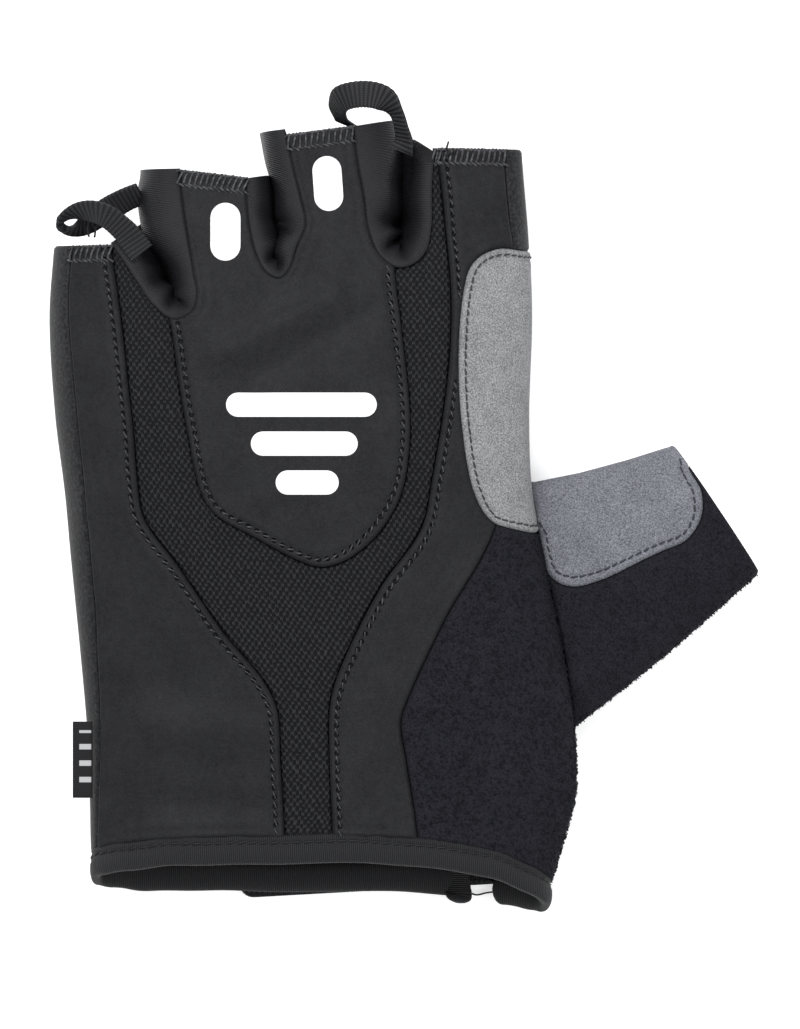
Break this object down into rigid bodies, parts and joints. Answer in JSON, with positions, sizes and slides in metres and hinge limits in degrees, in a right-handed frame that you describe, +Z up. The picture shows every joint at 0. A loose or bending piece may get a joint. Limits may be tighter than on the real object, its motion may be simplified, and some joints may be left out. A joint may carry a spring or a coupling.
{
  "type": "fingerless cycling glove",
  "caption": "Fingerless left cycling glove with stretch back, mesh vent, suede thumb patches, finger gussets and pull loops.",
  "frame": {"origin": "on the supporting surface under the middle of the palm", "axes": "+X towards the thumb side, +Y towards the finger tips, +Z up out of the back of the hand"},
  "size_m": [0.1474, 0.1709, 0.0276],
  "materials": {
    "palm_leather": "matte, fine grain",
    "back_knit": "smooth stretch knit",
    "air_mesh": "open spacer mesh",
    "terry": "brushed terry",
    "suede": "fine suede nap",
    "gusset_knit": "shiny ribbed stretch knit",
    "binding_knit": "ribbed knitted tape",
    "webbing": "ribbed grosgrain webbing",
    "hook_tape": "hook-and-loop tape",
    "label_cloth": "woven satin",
    "reflective_film": "smooth reflective transfer"
  },
  "bodies": {
    "root": {"palm_panel": "palm_leather", "outer_back_panel": "back_knit", "mesh_panel": "air_mesh", "knuckle_panel": "back_knit", "inner_back_panel": "back_knit", "thenar_panel": "terry", "thumb_stall": "terry", "hand_suede_patch": "suede", "thumb_suede_patch": "suede", "gusset_little_ring": "gusset_knit", "gusset_ring_middle": "gusset_knit", "gusset_middle_index": "gusset_knit", "wrist_binding": "binding_knit", "fastening_tab": "hook_tape", "side_label": "label_cloth", "pull_loop_finger": "webbing", "pull_loop_side": "webbing", "reflective_oval_ring": "reflective_film", "reflective_oval_middle": "reflective_film", "reflective_bar_upper": "reflective_film", "reflective_bar_middle": "reflective_film", "reflective_bar_lower": "reflective_film"}
  },
  "joints": []
}
